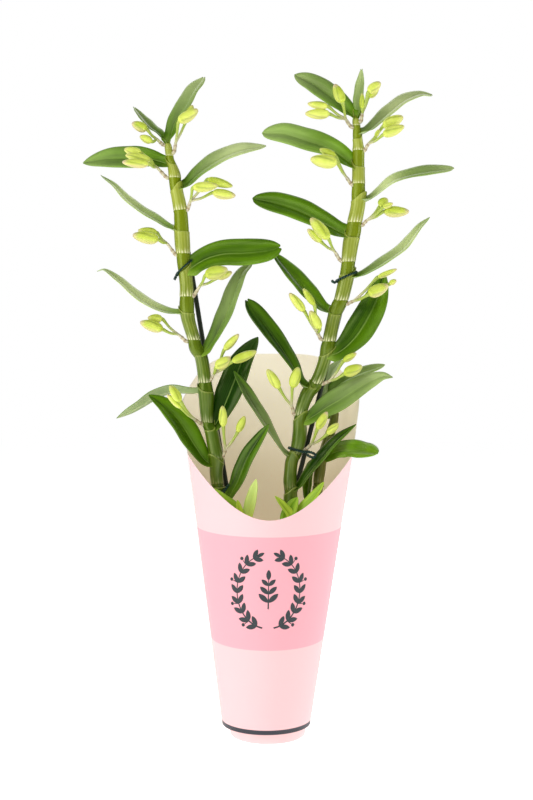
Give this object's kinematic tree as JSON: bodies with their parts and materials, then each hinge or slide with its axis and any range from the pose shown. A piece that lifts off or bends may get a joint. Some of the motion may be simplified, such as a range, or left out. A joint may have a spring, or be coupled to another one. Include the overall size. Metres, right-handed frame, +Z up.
{
  "type": "potted dendrobium orchid",
  "caption": "Potted dendrobium orchid in bud: leafy upright canes with bud sprays, tied to sticks, in a plastic pot of bark inside a tall pink card sleeve.",
  "frame": {"origin": "middle of the pot's underside, on the surface that the pot stands on", "axes": "+Z up along the pot and the canes, -Y towards the low front of the sleeve, +X to the right as seen from the front"},
  "size_m": [0.3707, 0.1708, 0.6649],
  "materials": {
    "pot_plastic": "satin",
    "bark": "matte",
    "sleeve_card": "satin",
    "cane_and_leaves": "satin",
    "old_cane": "satin",
    "young_shoot": "satin",
    "bud_spray": "satin",
    "stick": "satin",
    "tie_wire": "satin"
  },
  "bodies": {
    "root": {"pot": "pot_plastic", "potting_bark": "bark", "sleeve": "sleeve_card", "cane_left": "cane_and_leaves", "cane_right": "cane_and_leaves", "cane_back": "old_cane", "shoot_left": "young_shoot", "shoot_front_left": "young_shoot", "shoot_front_right": "young_shoot", "shoot_right": "young_shoot", "bud_spray_left_01": "bud_spray", "bud_spray_left_02": "bud_spray", "bud_spray_left_03": "bud_spray", "bud_spray_left_04": "bud_spray", "bud_spray_left_05": "bud_spray", "bud_spray_left_06": "bud_spray", "bud_spray_left_07": "bud_spray", "bud_spray_left_08": "bud_spray", "bud_spray_left_09": "bud_spray", "bud_spray_left_10": "bud_spray", "bud_spray_right_01": "bud_spray", "bud_spray_right_02": "bud_spray", "bud_spray_right_03": "bud_spray", "bud_spray_right_04": "bud_spray", "bud_spray_right_05": "bud_spray", "bud_spray_right_06": "bud_spray", "bud_spray_right_07": "bud_spray", "bud_spray_right_08": "bud_spray", "bud_spray_right_09": "bud_spray", "bud_spray_right_10": "bud_spray", "bud_spray_right_11": "bud_spray", "stick_left": "stick", "stick_right": "stick", "tie_left_top": "tie_wire", "tie_left_low": "tie_wire", "tie_right_top": "tie_wire", "tie_right_low": "tie_wire"}
  },
  "joints": []
}
